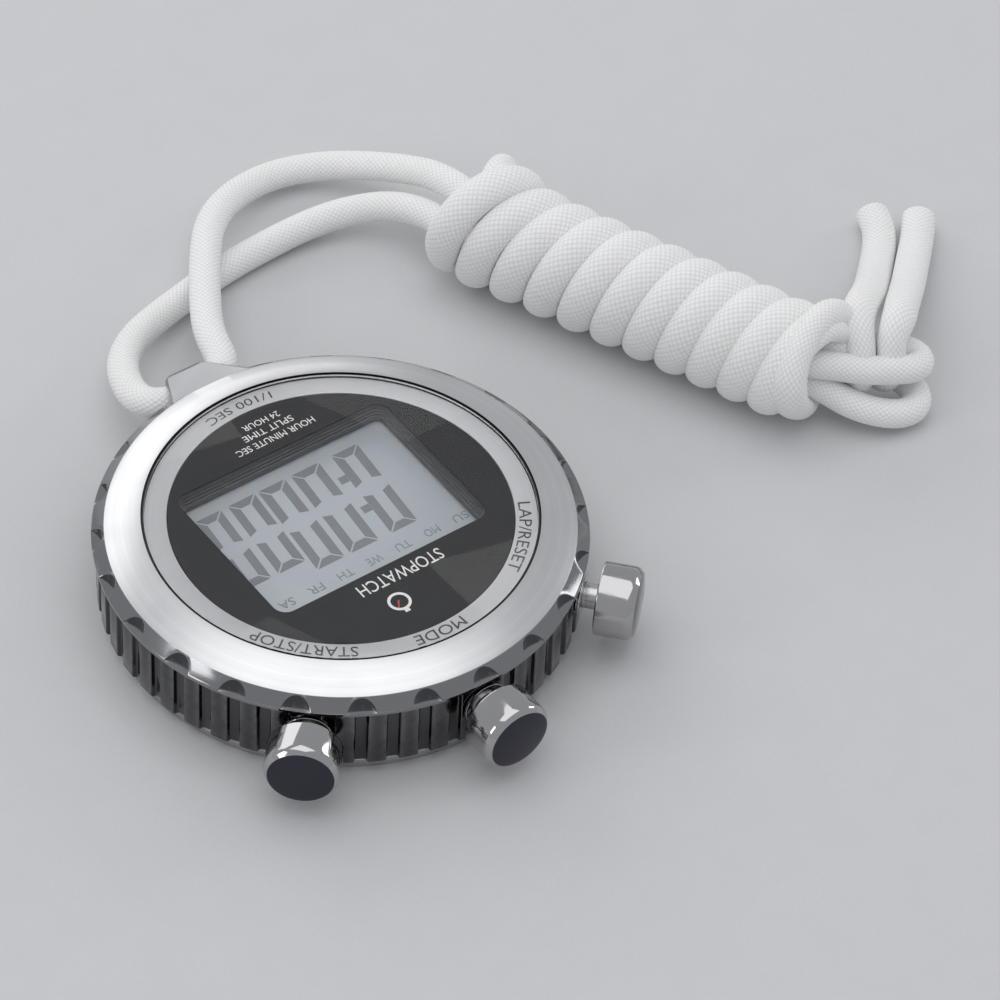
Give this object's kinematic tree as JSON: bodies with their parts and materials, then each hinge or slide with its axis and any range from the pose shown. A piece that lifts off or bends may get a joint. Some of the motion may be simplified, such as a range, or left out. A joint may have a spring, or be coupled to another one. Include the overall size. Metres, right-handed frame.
{
  "type": "digital stopwatch",
  "caption": "Hand-held digital stopwatch in a round ribbed metal case with side push buttons, a lug and a wound braided neck cord.",
  "frame": {"origin": "centre of the back cover's underside, where the stopwatch rests", "axes": "+Z out of the display, +Y towards the 12 o'clock button and away from the lug, +X to the reader's right"},
  "size_m": [0.1371, 0.1072, 0.0159],
  "materials": {
    "satin_bezel": "brushed bright metal",
    "dark_chrome": "polished chrome",
    "polished_steel": "polished",
    "plain_steel": "satin",
    "brass": "satin",
    "silver_ring": "satin silver print",
    "black_face": "matt black print",
    "clear_lens": "clear",
    "display_glass": "grey liquid crystal display",
    "foil": "silver foil",
    "grey_plastic": "moulded",
    "white_plastic": "moulded",
    "black_rubber": "matt",
    "green_board": "solder mask",
    "black_epoxy": "glossy",
    "white_cord": "braided"
  },
  "bodies": {
    "case": {"back_cover": "plain_steel", "back_gasket": "black_rubber", "back_screw_1": "plain_steel", "back_screw_2": "plain_steel", "back_screw_3": "plain_steel", "back_screw_4": "plain_steel", "battery": "plain_steel", "battery_clip": "plain_steel", "battery_contact": "brass", "bezel": "satin_bezel", "board_screw_1": "plain_steel", "board_screw_2": "plain_steel", "buzzer": "brass", "buzzer_spring": "plain_steel", "case_body": "dark_chrome", "chip_cover": "black_epoxy", "circuit_board": "green_board", "cord_hank": "white_cord", "cord_leg_a": "white_cord", "cord_leg_b": "white_cord", "cord_tail_a": "white_cord", "cord_tail_b": "white_cord", "dial_ring": "silver_ring", "face_mask": "black_face", "lap_bushing": "brass", "lap_contact": "brass", "lap_spring": "plain_steel", "lcd_frame": "grey_plastic", "lcd_panel": "display_glass", "lcd_reflector": "foil", "lens": "clear_lens", "lens_gasket": "black_rubber", "mode_bushing": "brass", "mode_contact": "brass", "mode_spring": "plain_steel", "module_holder": "white_plastic", "quartz_can": "plain_steel", "start_bushing": "brass", "start_contact": "brass", "start_spring": "plain_steel", "zebra_strip_bottom": "black_rubber", "zebra_strip_top": "black_rubber"},
    "start_button": {"start_cap": "polished_steel", "start_plunger": "polished_steel", "start_seal": "black_rubber", "start_clip": "plain_steel"},
    "mode_button": {"mode_cap": "polished_steel", "mode_plunger": "polished_steel", "mode_seal": "black_rubber", "mode_clip": "plain_steel"},
    "lap_button": {"lap_cap": "polished_steel", "lap_plunger": "polished_steel", "lap_seal": "black_rubber", "lap_clip": "plain_steel"}
  },
  "joints": [
    {"name": "start_press", "type": "slide", "parent": "case", "child": "start_button", "axis": [-0.6691, -0.7431, 0], "range_m": [0, 0.001], "stiffness_N_per_m": 1000, "springref_m": -0.0012, "deforming": ["start_spring"]},
    {"name": "mode_press", "type": "slide", "parent": "case", "child": "mode_button", "axis": [0, -1, 0], "range_m": [0, 0.001], "stiffness_N_per_m": 1000, "springref_m": -0.0012, "deforming": ["mode_spring"]},
    {"name": "lap_press", "type": "slide", "parent": "case", "child": "lap_button", "axis": [0.6691, -0.7431, 0], "range_m": [0, 0.001], "stiffness_N_per_m": 1000, "springref_m": -0.0012, "deforming": ["lap_spring"]}
  ]
}
